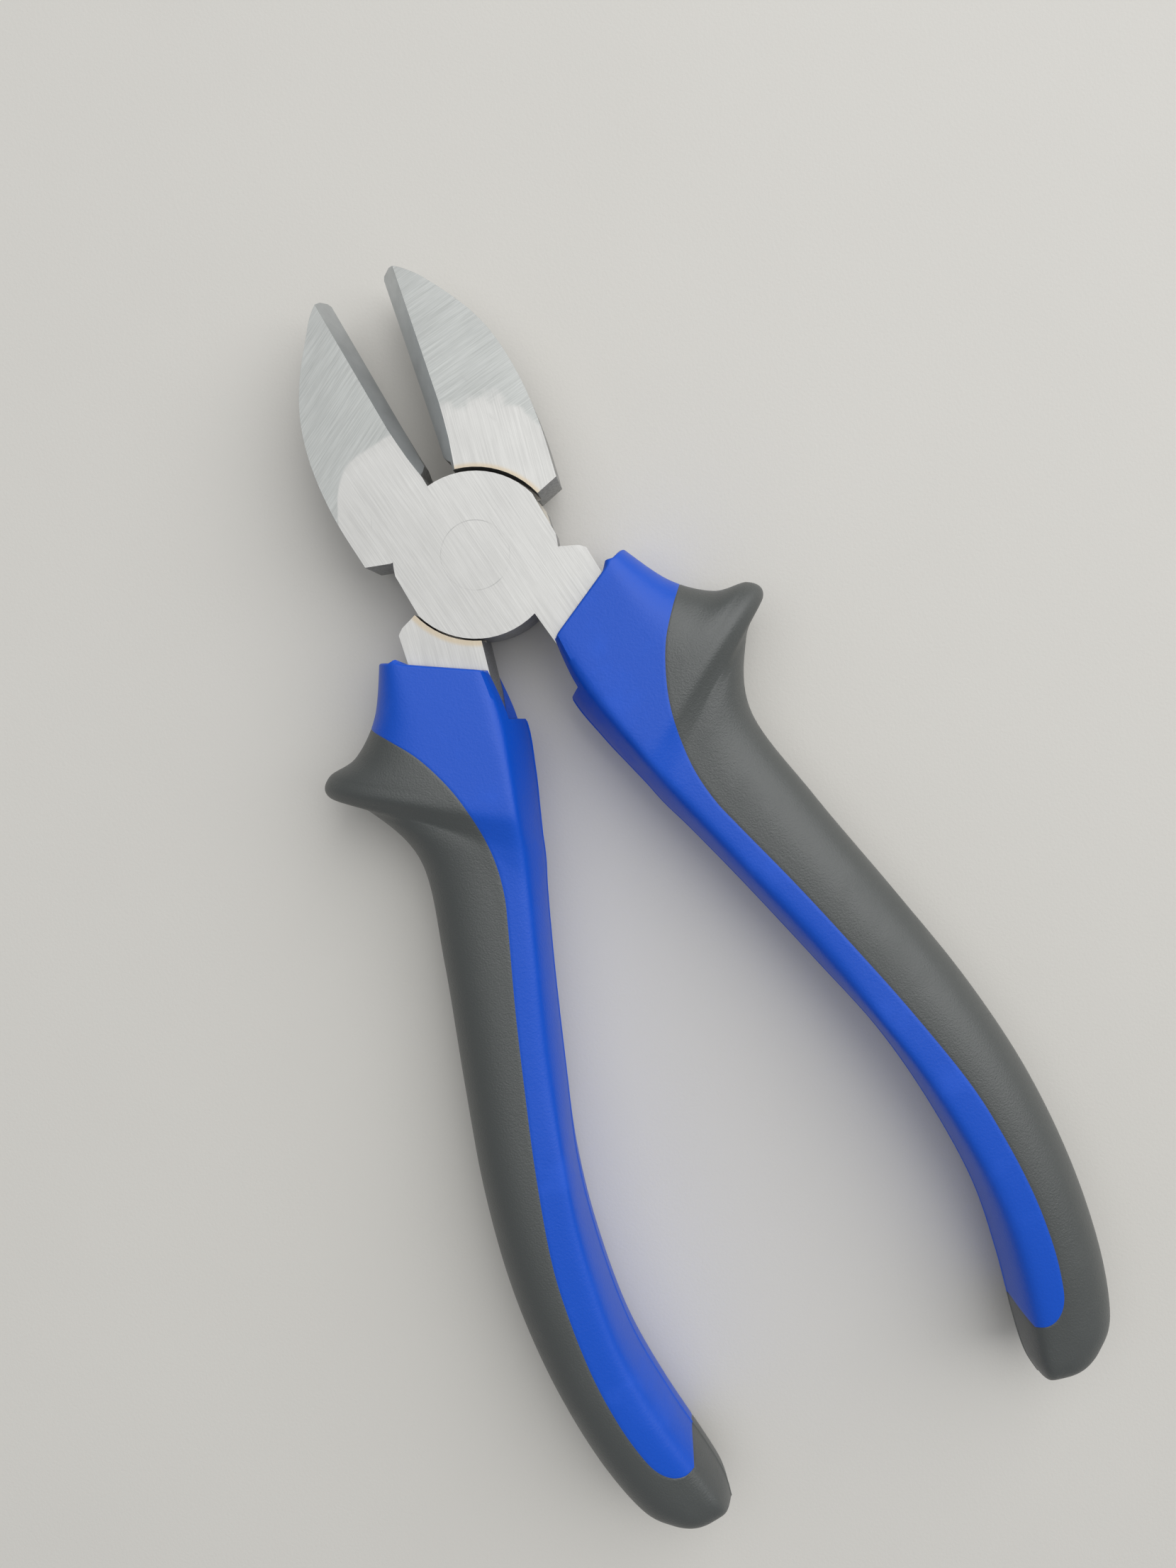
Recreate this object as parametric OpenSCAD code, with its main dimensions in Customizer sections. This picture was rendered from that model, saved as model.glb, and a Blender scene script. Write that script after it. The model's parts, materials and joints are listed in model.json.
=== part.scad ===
// Diagonal side cutter: two forged steel halves in a lap joint, one flush-ground pivot rivet,
// and on each tang a hard inner sleeve with a soft grip moulded over it.
// Origin: the pivot axis where it meets the ground back face of the head.
// +Y runs to the blade tips along the bisector, +Z along the pivot axis to the front face.

/* [Pose] */
// Angle between the two cutting edges as modelled
rest_angle = 11.5; // [4:0.1:30]

/* [Head] */
// Thickness of the ground head
head_t = 9.5; // [9:0.1:10.5]
// Radius of each cheek of the lap joint
cheek_r = 10.3; // [10.1:0.1:10.6]
// Distance from the pivot axis to the flats on each cheek
cheek_flat = 9.9; // [9.6:0.1:10]
// Gap between a cheek and the other half's jaw
jaw_gap = 0.5; // [0.3:0.05:0.7]
// Gap between a cheek and the other half's tang
tang_gap = 0.25; // [0.2:0.05:0.5]

/* [Blades] */
// Distance from the pivot axis to the blade tip
jaw_reach = 37.2; // [36.8:0.2:38]
// How much thinner each face of the jaw is at the tip
tip_thinning = 0.9; // [0:0.1:1.5]
// Width of the bevel on the front half's blade, ground on the front face
front_bevel_w = 1.5; // [1:0.05:2.2]
// Width of the bevel on the rear half's blade, ground on the front face
rear_bevel_w = 1.9; // [1:0.05:2.2]
// Depth of the cutting edge below the front face
bevel_depth = 3.3; // [2:0.1:4]
// Width of the narrow relief behind the cutting edge
relief_w = 1.1; // [0.5:0.1:1.6]

/* [Pivot] */
// Shank radius of the rivet
shank_r = 3.4; // [3:0.1:3.8]
// Radius of the rivet's two countersunk heads
rivet_head_r = 4.3; // [4:0.1:4.8]
// Depth of each countersunk head
rivet_head_d = 1.4; // [1:0.1:2]
// Radial play of the rivet in the half that turns on it
pivot_play = 0.05; // [0.02:0.01:0.08]

/* [Handles] */
// Thickness of the soft grip over the sleeve
grip_skin = 2.2; // [1.5:0.1:2.6]
// Thickness of the hidden part of the tang
core_t = 6.4; // [5:0.2:7]

/* [Hidden] */
$fn = 96;

half_t = head_t / 2;
lap_gap = 0.025;        // half of the gap between the two cheeks
edge_gap = 0.02;        // the closed edges stay just clear of each other
slope_y = 17;           // where the jaw faces start to thin towards the tip
slope_a = atan(tip_thinning / (jaw_reach - slope_y));
bevel_root_y = cheek_r + 0.3;   // the bevels end just clear of the cheeks
beyond = 20;            // cutters reach this far past what they cut

// Outer edge of each jaw, from the tip back to its stop shoulder. They are ground by hand and differ a little
front_jaw_back = [[-0.9, jaw_reach], [-2.7, 35.9], [-4.5, 33.9], [-7.7, 30], [-10.3, 25.5], [-12, 20],
                  [-12.8, 13], [-12.6, 5.7]];
rear_jaw_back = [[-1.3, jaw_reach], [-3.1, 36.1], [-5.4, 33.8], [-9, 28.8], [-11.1, 24.1], [-12.4, 18],
                 [-12.8, 12], [-12.6, 5.7]];

// Stations along a handle, from the sleeve's mouth to the grip's end: inner x and y, outer x and y,
// inset of the crease, share of the width that is blue, half thickness. The guard's ridge is at station 3.5
stations = [
    [ 2.4,  -14.3, 16.2,   -8.4, 1.3, 0.95, 7.1],
    [ 1.2,  -21.0, 19.2,  -14.6, 2.3, 0.94, 7.5],
    [ 2.1,  -27.3, 23.3,  -18.6, 2.2, 0.56, 7.8],
    [ 3.2,  -32.2, 27.6,  -19.7, 2.0, 0.34, 8.0],
    [ 3.9,  -35.2, 28.6,  -22.2, 1.8, 0.27, 7.1],
    [ 4.6,  -38.6, 23.9,  -25.7, 1.8, 0.28, 6.7],
    [ 5.9,  -43.2, 19.8,  -34.0, 1.6, 0.30, 6.6],
    [ 8.3,  -52.9, 21.3,  -47.1, 1.3, 0.33, 6.8],
    [11.2,  -65.9, 24.0,  -62.8, 1.1, 0.36, 7.2],
    [13.5,  -77.0, 26.1,  -76.5, 0.9, 0.37, 7.7],
    [14.4,  -88.1, 26.9,  -89.6, 0.9, 0.42, 8.0],
    [14.1,  -99.8, 26.1, -102.2, 1.0, 0.45, 7.9],
    [12.1, -109.8, 23.8, -113.8, 1.3, 0.47, 7.5],
    [ 9.9, -117.7, 20.7, -122.3, 1.4, 0.40, 6.8],
    [ 8.9, -122.4, 17.9, -125.4, 1.1, 0.40, 5.9],
    [ 9.0, -125.3, 14.4, -126.8, 0.8, 0.40, 2.8],
];
last_station = len(stations) - 1;
grip_start = 1.15;      // station where the soft grip begins
core_end = 12.6;        // station where the sleeve ends under the grip's cap
ring_step = 1 / 3;      // rings in a loft, as a share of a station

// A smooth curve through rows of numbers: Catmull-Rom, at row number s
function through(rows, s) =
    let (n = len(rows) - 1, i = min(floor(s), n - 1), f = s - i,
         a = rows[max(i - 1, 0)], b = rows[i], c = rows[i + 1], d = rows[min(i + 2, n)])
    (2 * b + (c - a) * f + (2 * a - 5 * b + 4 * c - d) * f * f + (3 * b - a - 3 * c + d) * f * f * f) / 2;

function curve(rows, steps) = [for (k = [0 : (len(rows) - 1) * steps]) through(rows, k / steps)];

// ---- steel halves: pivot at the origin, mid-plane at z = 0, own cheek in front, jaw at -X ----

module plate(points, low = -half_t, high = half_t)
    translate([0, 0, low]) linear_extrude(high - low) polygon(points);

module jaw_plate(back) {
    tip_round = [[-edge_gap, jaw_reach - 0.5], [-0.25, jaw_reach - 0.12]];
    root_notch = [[-9.6, 4.5], [-4, 4], [-0.75, 8], [-0.8, 11.9], [-0.4, 12.4], [-edge_gap, 13.1]];
    plate(concat(tip_round, curve(back, 5), root_notch));
}

// The tang: full thickness from the joint into the sleeve, then a thinner bar inside the handle
module tang() {
    plate([[9, -4.2], [11.6, -5.5], [12.3, -6.2], [12.4, -11], [14.2, -22], [14.6, -27], [6.2, -27],
           [4.1, -21], [3.3, -16.5], [2.7, -9.9], [4, -6], [7, -4]]);
    plate([[14.2, -22], [14.8, -36], [17.2, -55], [20.4, -75], [21.4, -90], [19.6, -104], [18.2, -106.5],
           [15.6, -105], [16.6, -90], [15.4, -75], [12.4, -55], [9, -40], [5, -24]], -core_t / 2, core_t / 2);
}

module cheek()
    intersection() {
        translate([0, 0, lap_gap]) cylinder(r = cheek_r, h = half_t - lap_gap);
        translate([-cheek_flat, -beyond, 0]) cube([2 * cheek_flat, 2 * beyond, half_t]);
    }

// Room for the other half's cheek, which turns behind this half's own one
module other_cheek_room(gap)
    translate([0, 0, -half_t - beyond]) cylinder(r = cheek_r + gap, h = half_t + beyond + lap_gap);

// Both faces of the jaw thin towards the tip
module tip_slopes()
    for (side = [0, 1]) mirror([0, 0, side])
        translate([0, slope_y, half_t]) rotate([-slope_a, 0, 0])
            translate([-beyond, 0, 0]) cube([2 * beyond, 2 * beyond, beyond]);

// What one pass of the wheel takes off the front of a blade (bevel) and behind its edge (relief). The pass
// follows the slope of the jaw's face, and turn swings it about a point on the edge, at_y from the pivot
module blade_pass(width, turn, at_y) {
    edge_z = half_t - bevel_depth;
    translate([0, slope_y, half_t]) rotate([-slope_a, 0, 0]) translate([0, -slope_y, -half_t])
        translate([0, at_y, 0]) rotate([90, 0, turn]) translate([0, 0, -1.2 * beyond])
            linear_extrude(2 * beyond)
                polygon([[-width, half_t], [-edge_gap, edge_z], [-relief_w, -half_t],
                         [-relief_w, -beyond], [beyond, -beyond], [beyond, beyond], [-width - 4, beyond]]);
}

// The bevel keeps its width along the blade and narrows towards the joint, where each pass swings in further
module bevels(width)
    intersection() {
        translate([-beyond, bevel_root_y, -beyond]) cube(2 * beyond);
        blade_pass(width, 0, slope_y);
        blade_pass(width, 3, 19);
        blade_pass(width, 7, 16.5);
    }

// The rivet's outline turned about the pivot axis, with its ends run out when it is a cutter
module rivet_shape(play, run_out)
    rotate_extrude() polygon([
        [0, -half_t - run_out], [rivet_head_r + play, -half_t - run_out], [rivet_head_r + play, -half_t],
        [shank_r + play, rivet_head_d - half_t], [shank_r + play, half_t - rivet_head_d],
        [rivet_head_r + play, half_t], [rivet_head_r + play, half_t + run_out], [0, half_t + run_out]]);

// bevel_side is +1 when the bevels are ground on the same face as this half's cheek
module steel_half(back, bevel_w, bevel_side, play)
    difference() {
        union() {
            difference() {
                jaw_plate(back);
                other_cheek_room(jaw_gap);
            }
            difference() {
                tang();
                other_cheek_room(tang_gap);
            }
            cheek();
        }
        tip_slopes();
        mirror([0, 0, (1 - bevel_side) / 2]) bevels(bevel_w);
        rivet_shape(play, 1);
    }

// ---- handles: lofts of closed rings, each in the plane through its station's two edges ----

function half_width(r) = norm([r[2] - r[0], r[3] - r[1]]);

// A value that goes evenly from first to last between two stations
function blend(s, start, end, first, last) =
    first + (last - first) * min(max((s - start) / (end - start), 0), 1);

// Height of the handle's face at x from the inner edge, at station s: an inner side that rises to the
// crease and is more upright further down, a flat face, and a superellipse down to the outer edge,
// which is squarer near the mouth
crease_share = 0.86;
function face_z(s, x, w, crease, h) =
    let (mid = max(blend(s, 0, 3, 0.78, 0.42) * w, crease + 1), power = blend(s, 0, 3, 2.6, 2.3),
         crease_z = crease_share * h)
    x <= crease ? crease_z * pow(x / crease, blend(s, 1, 8, 0.85, 0.5)) :
    x <= mid ? h - (h - crease_z) * pow((mid - x) / (mid - crease), 2) :
    h * pow(max(1 - pow((x - mid) / (w - mid), power), 0), 1 / power);

// Skin of soft grip at a station: none before the grip starts, then it thickens quickly
function skin_at(s) = s < grip_start ? 0 : grip_skin * min(0.3 + (s - grip_start) * 1.5, 1);

// Upper half of a ring as [x, z], inner edge to outer edge. The first points stay on show, and the
// part past them lies under the grip, set in by the skin
shown_points = 7;
under_points = 8;
function half_ring(s, skin) =
    let (r = through(stations, s), w = half_width(r), c = r[4], b = r[5] * w, h = r[6],
         shown = [for (x = [0, c / 2, c, (3 * c + b) / 4, (c + b) / 2, (c + 3 * b) / 4, b])
                  [x, face_z(s, x, w, c, h)]],
         start = b + 0.1, squeeze = (w - skin - start) / (w - start), sink = 1 - skin / h,
         under = [for (k = [0 : under_points - 1])
                  let (x = start + (w - start) * sin(90 * k / (under_points - 1)))
                  [start + (x - start) * squeeze, face_z(s, x, w, c, h) * sink]])
    concat(shown, under);

// A whole ring in space: the upper half, then the lower half mirrored back
function ring(s, skin = 0) =
    let (r = through(stations, s), along = [r[2] - r[0], r[3] - r[1]] / half_width(r),
         half = half_ring(s, skin), n = len(half) - 1,
         flat = concat(half, [for (k = [n - 1 : -1 : 1]) [half[k][0], -half[k][1]]]))
    [for (p = flat) [r[0] + along[0] * p[0], r[1] + along[1] * p[0], p[1]]];

ring_size = 2 * (shown_points + under_points - 1);

function steps_between(a, b) = let (n = ceil((b - a) / ring_step)) [for (k = [0 : n]) a + (b - a) * k / n];
function quad(a, b, c, d) = [[a, b, d], [b, c, d]];
function quad_inside(a, b, c, d) = [[d, b, a], [d, c, b]];

// Faces between the rings that start at points p and q, over columns k0 to k1
function band(p, q, k0, k1) = [for (k = [k0 : k1]) let (next = (k + 1) % ring_size)
                               each quad(p + k, p + next, q + next, q + k)];

// The sleeve before its pocket and slot are cut: one loft, set in under the grip
module sleeve_core() {
    list = concat(steps_between(0, grip_start - 0.02), steps_between(grip_start, core_end));
    n = ring_size;
    m = len(list) - 1;
    sides = [for (i = [0 : m - 1]) each band(i * n, (i + 1) * n, 0, n - 1)];
    ends = [[for (k = [n - 1 : -1 : 0]) k], [for (k = [0 : n - 1]) m * n + k]];
    polyhedron([for (s = list) each ring(s, skin_at(s))], concat(sides, ends), convexity = 6);
}

// The grip: a C-shaped skin wrapped round the sleeve, closed by a solid end cap
module grip() {
    wrapped = steps_between(grip_start, core_end);
    cap = [for (s = steps_between(core_end, last_station)) if (s > core_end) s];
    outer = concat(wrapped, cap);
    n = ring_size;
    e = shown_points - 1;               // column of the blue-grey edge; n - e is its mirror image
    w = len(wrapped) - 1;
    m = len(outer) - 1;
    under = (m + 1) * n;                // where the points of the inside of the skin begin
    skin = [for (i = [0 : w - 1]) let (p = i * n, q = p + n, up = under + p, uq = up + n)
            each concat(
                band(p, q, e, n - e - 1),
                [for (k = [e + 1 : n - e - 2]) each quad_inside(up + k, up + k + 1, uq + k + 1, uq + k)],
                quad(p + e, q + e, uq + e + 1, up + e + 1),
                quad(q + n - e, p + n - e, up + n - e - 1, uq + n - e - 1))];
    solid_cap = [for (i = [w : m - 1]) each band(i * n, (i + 1) * n, 0, n - 1)];
    mouth = concat([for (k = [n - e : -1 : e]) k], [for (k = [e + 1 : n - e - 1]) under + k]);
    core_seat = concat([for (k = [e : -1 : 0]) w * n + k], [for (k = [n - 1 : -1 : n - e]) w * n + k],
                       [for (k = [n - e - 1 : -1 : e + 1]) under + w * n + k]);
    tip = [for (k = [0 : n - 1]) m * n + k];
    polyhedron(concat([for (s = outer) each ring(s)], [for (s = wrapped) each ring(s, skin_at(s))]),
               concat(skin, solid_cap, [mouth, core_seat, tip]), convexity = 8);
}

// The inner wall is open from the mouth down to the hook, so the edge of the tang shows
module mouth_slot()
    plate([[-beyond, 0], [3.3, -10], [3.4, -21], [-beyond, -20.6]]);

module sleeve()
    difference() {
        sleeve_core();
        tang();
        mouth_slot();
    }

// ---- the assembly: each half is turned by half of the rest angle ----

module in_front_half() translate([0, 0, half_t]) rotate([0, 0, rest_angle / 2]) children();
module in_rear_half()
    translate([0, 0, half_t]) rotate([0, 0, -rest_angle / 2]) rotate([0, 180, 0]) children();

module front_half() color("silver") in_front_half() steel_half(front_jaw_back, front_bevel_w, 1, 0);
module rear_half() color("lightgray")
    in_rear_half() steel_half(rear_jaw_back, rear_bevel_w, -1, pivot_play);
module pivot_rivet() color("gainsboro") in_front_half() rivet_shape(0, 0);
module right_sleeve() color("royalblue") in_front_half() sleeve();
module left_sleeve() color("royalblue") in_rear_half() sleeve();
module right_grip() color("dimgray") in_front_half() grip();
module left_grip() color("dimgray") in_rear_half() grip();

front_half();
rear_half();
pivot_rivet();
right_sleeve();
left_sleeve();
right_grip();
left_grip();
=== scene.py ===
"""Diagonal side cutter: ground steel halves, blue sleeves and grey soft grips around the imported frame."""
import json
import math

import bmesh
import bpy
import numpy as np
from mathutils import Matrix, Vector


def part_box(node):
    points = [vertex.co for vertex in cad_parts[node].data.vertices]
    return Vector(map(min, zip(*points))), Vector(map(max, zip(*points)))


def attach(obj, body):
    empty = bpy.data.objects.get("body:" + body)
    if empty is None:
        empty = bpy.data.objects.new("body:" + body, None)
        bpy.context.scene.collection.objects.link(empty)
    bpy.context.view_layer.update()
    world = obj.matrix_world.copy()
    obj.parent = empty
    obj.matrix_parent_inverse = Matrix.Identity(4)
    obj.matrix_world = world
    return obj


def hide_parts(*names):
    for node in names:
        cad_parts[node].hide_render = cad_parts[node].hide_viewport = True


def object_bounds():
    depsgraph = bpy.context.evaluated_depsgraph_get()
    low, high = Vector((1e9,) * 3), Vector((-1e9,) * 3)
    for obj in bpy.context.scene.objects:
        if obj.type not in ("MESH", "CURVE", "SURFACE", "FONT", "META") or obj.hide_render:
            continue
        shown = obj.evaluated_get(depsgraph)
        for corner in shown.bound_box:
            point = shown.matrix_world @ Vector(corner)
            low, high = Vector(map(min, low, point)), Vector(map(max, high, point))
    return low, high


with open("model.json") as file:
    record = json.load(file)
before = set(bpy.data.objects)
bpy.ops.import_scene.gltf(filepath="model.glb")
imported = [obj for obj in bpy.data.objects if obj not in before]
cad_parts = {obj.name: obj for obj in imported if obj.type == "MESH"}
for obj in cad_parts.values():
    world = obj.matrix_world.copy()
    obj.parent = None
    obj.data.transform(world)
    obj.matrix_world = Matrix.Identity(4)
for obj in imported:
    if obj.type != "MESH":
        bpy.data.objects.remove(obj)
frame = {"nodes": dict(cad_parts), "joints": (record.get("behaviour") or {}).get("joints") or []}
CAD_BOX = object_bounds()

bl_info = {
    "name": "Side Cutter Builder",
    "version": (1, 0, 0),
    "blender": (4, 5, 0),
    "location": "View3D > Sidebar > Side Cutter",
    "description": "Builds the steel halves, sleeves, grips and studio of a riveted side cutter",
    "category": "Add Mesh",
}

MM = 0.001
PIVOT = frame["joints"][0]
RIVET_LOW, RIVET_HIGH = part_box("pivot_rivet")
RIVET_R = (RIVET_HIGH[0] - RIVET_LOW[0]) / 2 / MM
HEAD_T = (RIVET_HIGH[2] - RIVET_LOW[2]) / MM
MID_Z = HEAD_T / 2
REST_ANGLE = -PIVOT["range_deg"][0]     # the blades meet at the joint's closed limit
FLOOR_Z = CAD_BOX[0][2]

# Sides of the tool: the front half carries the left jaw and the right handle, the rear half is the
# same blank turned over about +Y.
FRONT, REAR = "front", "rear"


# ---------------------------------------------------------------- settings

class SteelSettings(bpy.types.PropertyGroup):
    """Sizes and colours of the two forged halves and the rivet"""
    edge_round: bpy.props.FloatProperty(
        name="Edge round", description="Radius worn on the ground edges",
        default=0.12 * MM, min=0, unit="LENGTH", precision=5)
    back_round: bpy.props.FloatProperty(
        name="Jaw back round", description="Radius along the outer edge of each jaw",
        default=0.8 * MM, min=0, unit="LENGTH", precision=5)
    joint_color: bpy.props.FloatVectorProperty(
        name="Joint steel", description="Bright steel ground lengthwise round the joint",
        subtype="COLOR", size=3, min=0, max=1, default=(0.55, 0.545, 0.525))
    jaw_color: bpy.props.FloatVectorProperty(
        name="Jaw steel", description="Greyer steel ground across the blades",
        subtype="COLOR", size=3, min=0, max=1, default=(0.44, 0.45, 0.435))
    bevel_color: bpy.props.FloatVectorProperty(
        name="Bevel steel", description="Steel of the ground bevels of the blades",
        subtype="COLOR", size=3, min=0, max=1, default=(0.68, 0.70, 0.70))
    side_color: bpy.props.FloatVectorProperty(
        name="Side steel", description="Forged sides of the halves",
        subtype="COLOR", size=3, min=0, max=1, default=(0.36, 0.36, 0.35))


class SleeveSettings(bpy.types.PropertyGroup):
    """Sizes and colour of the hard sleeves"""
    mouth_round: bpy.props.FloatProperty(
        name="Mouth round", description="Radius of the rim round the sleeve's mouth",
        default=0.6 * MM, min=0, unit="LENGTH", precision=5)
    color: bpy.props.FloatVectorProperty(
        name="Blue", description="Colour of the hard plastic",
        subtype="COLOR", size=3, min=0, max=1, default=(0.001, 0.082, 0.57))


class GripSettings(bpy.types.PropertyGroup):
    """Sizes and colour of the soft grips"""
    skin: bpy.props.FloatProperty(
        name="Skin", description="Thickness of the soft grip over the sleeve",
        default=1.8 * MM, min=0.5 * MM, max=3 * MM, unit="LENGTH", precision=5)
    seam_depth: bpy.props.FloatProperty(
        name="Seam depth", description="Depth of the fine groove where grip and sleeve meet",
        default=0.05 * MM, min=0, unit="LENGTH", precision=5)
    color: bpy.props.FloatVectorProperty(
        name="Grey", description="Colour of the soft grip",
        subtype="COLOR", size=3, min=0, max=1, default=(0.066, 0.072, 0.069))


class StageSettings(bpy.types.PropertyGroup):
    """Floor, lights and camera"""
    floor_color: bpy.props.FloatVectorProperty(
        name="Floor", description="Pale table top",
        subtype="COLOR", size=3, min=0, max=1, default=(0.68, 0.66, 0.615))
    key_power: bpy.props.FloatProperty(
        name="Key light", description="Power of the soft light from the right",
        default=17.4, min=0, unit="POWER")
    ceiling_power: bpy.props.FloatProperty(
        name="Ceiling", description="Power of the wide panel that the steel mirrors",
        default=4.6, min=0, unit="POWER")
    lens: bpy.props.FloatProperty(
        name="Lens", description="Focal length of the camera on a 36 mm wide sensor", default=40.4)


# ---------------------------------------------------------------- handle surface

# Stations along a handle in the frame of its own half, in mm: inner x and y, outer x and y, half thickness
# without the guard. Stations 2 to 5 carry the guard's horn.
STATIONS = np.array([
    [2.4, -14.3, 16.2, -8.4, 5.6],
    [1.2, -21.0, 19.2, -14.6, 6.0],
    [2.1, -27.3, 23.3, -18.6, 6.3],
    [3.2, -32.2, 27.5, -19.8, 6.5],
    [3.9, -35.2, 28.4, -22.2, 6.6],
    [4.6, -38.6, 23.9, -25.7, 6.7],
    [5.9, -43.2, 19.8, -34.0, 6.6],
    [8.3, -52.9, 21.3, -47.1, 6.8],
    [11.2, -65.9, 24.0, -62.8, 7.2],
    [13.5, -77.0, 26.1, -76.5, 7.7],
    [14.4, -88.1, 26.9, -89.6, 7.95],
    [14.1, -99.8, 26.05, -102.2, 7.9],
    [12.1, -109.8, 23.8, -113.8, 7.5],
    [9.9, -117.7, 20.7, -122.3, 6.8],
    [8.9, -122.5, 17.7, -125.3, 6.2],
    [9.0, -125.7, 14.4, -126.8, 5.6],
])
# Crease between the face and the inner side, and the blue-grey edge, as smooth curves in the same frame.
CREASE = np.array([[3.6, -13.0], [3.4, -20], [4.9, -31], [6.7, -40], [9.2, -51], [11.7, -62], [13.9, -75.5],
                   [14.9, -83], [15.3, -90], [15.3, -97], [14.9, -102], [14.1, -107], [13.1, -111.3],
                   [11.9, -115.6], [11.3, -117.7], [10.4, -120.6], [9.7, -123], [9.4, -126]])
TWO_TONE = np.array([[22.5, -13.2], [19.9, -15.9], [17.6, -18.1], [15.0, -21.0], [13.0, -24.3], [11.4, -28],
                     [10.4, -32], [9.9, -36.6], [10.2, -41], [11.1, -45], [13.6, -55], [15.8, -65],
                     [17.8, -75], [19.5, -86], [19.8, -94], [19.4, -102], [18.3, -108.8], [16.9, -113.7],
                     [15.8, -116], [14.4, -117.3], [12.9, -117.7], [11.4, -117.4], [8.0, -116.6]])
HOOK = 1.0            # station where the slot at the mouth ends
GUARD = 3.5           # station of the ridge that runs from the horn across the face
GUARD_RISE = 1.45     # mm that the handle is thicker on the mouth's side of the ridge
GREY_LOW = 12.6       # station where the grey end cap starts on the inner edge
CORE_END = 12.5       # station where the hidden core ends inside the grip
CLOSING = 13.4        # station where the end starts to round off
SIDE_TOP = 0.92       # share of the half thickness that the inner side reaches at the crease
LAST = len(STATIONS) - 1.0


def through(rows, s):
    """Catmull-Rom curve through rows of numbers, read at fractional row numbers s."""
    s = np.asarray(s, float)
    n = len(rows) - 1
    i = np.clip(np.floor(s).astype(int), 0, n - 1)
    f = (s - i)[..., None]
    a, b, c, d = rows[np.maximum(i - 1, 0)], rows[i], rows[i + 1], rows[np.minimum(i + 2, n)]
    return (2 * b + (c - a) * f + (2 * a - 5 * b + 4 * c - d) * f**2 + (3 * b - a - 3 * c + d) * f**3) / 2


def crossing(curve, inner, outer):
    """Distance from each inner point, towards its outer point, at which a smooth curve crosses the line."""
    dense = through(curve, np.linspace(0, len(curve) - 1, 40 * len(curve)))
    across = outer - inner
    width = np.linalg.norm(across, axis=1)
    normal = np.stack([-across[:, 1], across[:, 0]], 1) / width[:, None]
    side = (dense[None] - inner[:, None]) @ normal[:, :, None]
    side = side[..., 0]
    flips = np.diff(np.sign(side), axis=1) != 0
    first = np.argmax(flips, axis=1)
    row = np.arange(len(inner))
    s0, s1 = side[row, first], side[row, first + 1]
    hit = dense[first] + (dense[first + 1] - dense[first]) * (s0 / (s0 - s1))[:, None]
    found = np.einsum("ij,ij->i", hit - inner, across) / width
    return np.where(flips.any(axis=1), found, np.nan)


def blend(s, start, end, first, last):
    """A value that goes evenly from first to last between two stations."""
    return first + (last - first) * np.clip((s - start) / (end - start), 0, 1)


def side_power(s):
    """How the inner side rises: almost straight at the mouth, upright at the parting line further down."""
    return blend(s, 1, 8, 0.85, 0.5)


def height(s, x, width, crease, half):
    """Height of the handle's face at x from the inner edge. The inner side rises as a power curve to the
    crease, the face is flat, and the outer side falls as a superellipse, squarer and narrower near the mouth.
    The two sides are blended by a power mean, softer further down."""
    mid = np.maximum(blend(s, 0, 3, 0.78, 0.42) * width, crease + 1)
    power = blend(s, 0, 3, 2.6, 2.3)
    sharp = blend(s, 2, 8, 12.0, 6.0)
    reach = np.clip((x - mid) / np.maximum(width - mid, 1e-6), 0, 1)
    face = half * (1 - reach**power) ** (1 / power)
    side = SIDE_TOP * half * (np.maximum(x, 0) / crease) ** side_power(s)
    low, high = np.minimum(face, side), np.maximum(face, side)
    return low * (1 + (low / np.maximum(high, 1e-9)) ** sharp) ** (-1 / sharp)


def half_height(s, share=1.0):
    """Half thickness along the handle: it follows the stations, stands higher on the mouth's side of the
    guard ridge, and closes as a superellipse at the end. The step after the ridge is crisp on the outer side
    of the section, where share of the width is above a half, and long and soft on the inner side."""
    soft = np.clip(1 - share / 0.55, 0, 1)
    sharp = 9 - 5.5 * soft
    past = np.logaddexp(0, sharp * (s - GUARD)) / sharp
    guard = GUARD_RISE * np.clip(1 - past / (0.95 + 1.7 * soft), 0, 1) ** 2
    tail = np.clip((s - CLOSING) / (LAST - CLOSING), 0, 1)
    return (through(STATIONS[:, 4:5], s)[..., 0] + guard) * (1 - tail**4) ** 0.42


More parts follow.
